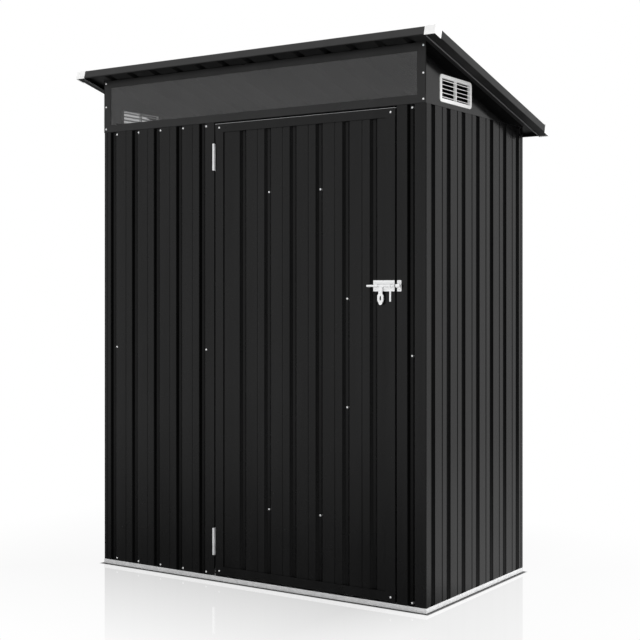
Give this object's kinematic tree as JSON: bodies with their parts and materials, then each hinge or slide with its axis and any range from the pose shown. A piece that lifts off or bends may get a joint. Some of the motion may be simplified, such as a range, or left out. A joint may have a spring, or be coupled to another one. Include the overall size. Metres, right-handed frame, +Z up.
{
  "type": "metal storage shed",
  "caption": "Small lean-to garden shed of ribbed dark steel sheet with a single outward-opening door, a tinted window band over it, louvred gable vents and a sloping ribbed roof.",
  "frame": {"origin": "centre of the shed's overall footprint, on the ground under the base rail", "axes": "+X to the right along the front, +Y from the front to the back, +Z up"},
  "size_m": [1.528, 0.8843, 1.854],
  "materials": {
    "painted_sheet": "satin charcoal paint on ribbed steel sheet",
    "painted_trim": "satin charcoal paint on folded steel trim",
    "frame_steel": "dark painted folded steel",
    "galvanised_steel": "galvanised, dull",
    "white_plastic": "white moulded plastic",
    "plated_hardware": "zinc plated",
    "tinted_panel": "dark tinted clear plastic sheet"
  },
  "bodies": {
    "shed": {"base_rail_front": "galvanised_steel", "base_rail_back": "galvanised_steel", "base_rail_left": "galvanised_steel", "base_rail_right": "galvanised_steel", "corner_trims": "painted_sheet", "front_wall_left": "painted_sheet", "front_wall_right": "painted_sheet", "right_wall": "painted_sheet", "left_wall": "painted_sheet", "back_wall": "painted_sheet", "door_jamb_left": "frame_steel", "door_jamb_right": "frame_steel", "front_header": "frame_steel", "back_top_rail": "frame_steel", "side_top_rail_left": "frame_steel", "side_top_rail_right": "frame_steel", "window_sill": "painted_trim", "window_post_left": "painted_trim", "window_post_right": "painted_trim", "window_head": "painted_trim", "window_panel": "tinted_panel", "gable_left": "painted_trim", "gable_right": "painted_trim", "vent_left": "white_plastic", "vent_right": "white_plastic", "roof_sheet": "painted_trim", "roof_fascia_front": "painted_trim", "roof_fascia_back": "painted_trim", "roof_barge_left": "painted_trim", "roof_barge_right": "painted_trim", "roof_caps": "white_plastic", "hinge_jamb_halves": "plated_hardware", "bolt_keeper": "plated_hardware", "corner_post_front_left": "frame_steel", "corner_post_front_right": "frame_steel", "corner_post_back_left": "frame_steel", "corner_post_back_right": "frame_steel"},
    "door": {"door_panel": "painted_sheet", "door_rail_top": "painted_sheet", "door_rail_bottom": "painted_sheet", "door_stile_left": "painted_sheet", "door_stile_right": "painted_sheet", "door_brace": "frame_steel", "hinge_door_halves": "plated_hardware", "bolt_plate": "plated_hardware"},
    "bolt": {"bolt_rod": "plated_hardware"}
  },
  "joints": [
    {"name": "door_hinge", "type": "hinge", "parent": "shed", "child": "door", "pos_m": [-0.162, -0.372, 0.8], "axis": [0, 0, -1], "range_deg": [0, 170]},
    {"name": "bolt_slide", "type": "slide", "parent": "door", "child": "bolt", "axis": [1, 0, 0], "range_m": [0, 0.014]}
  ]
}
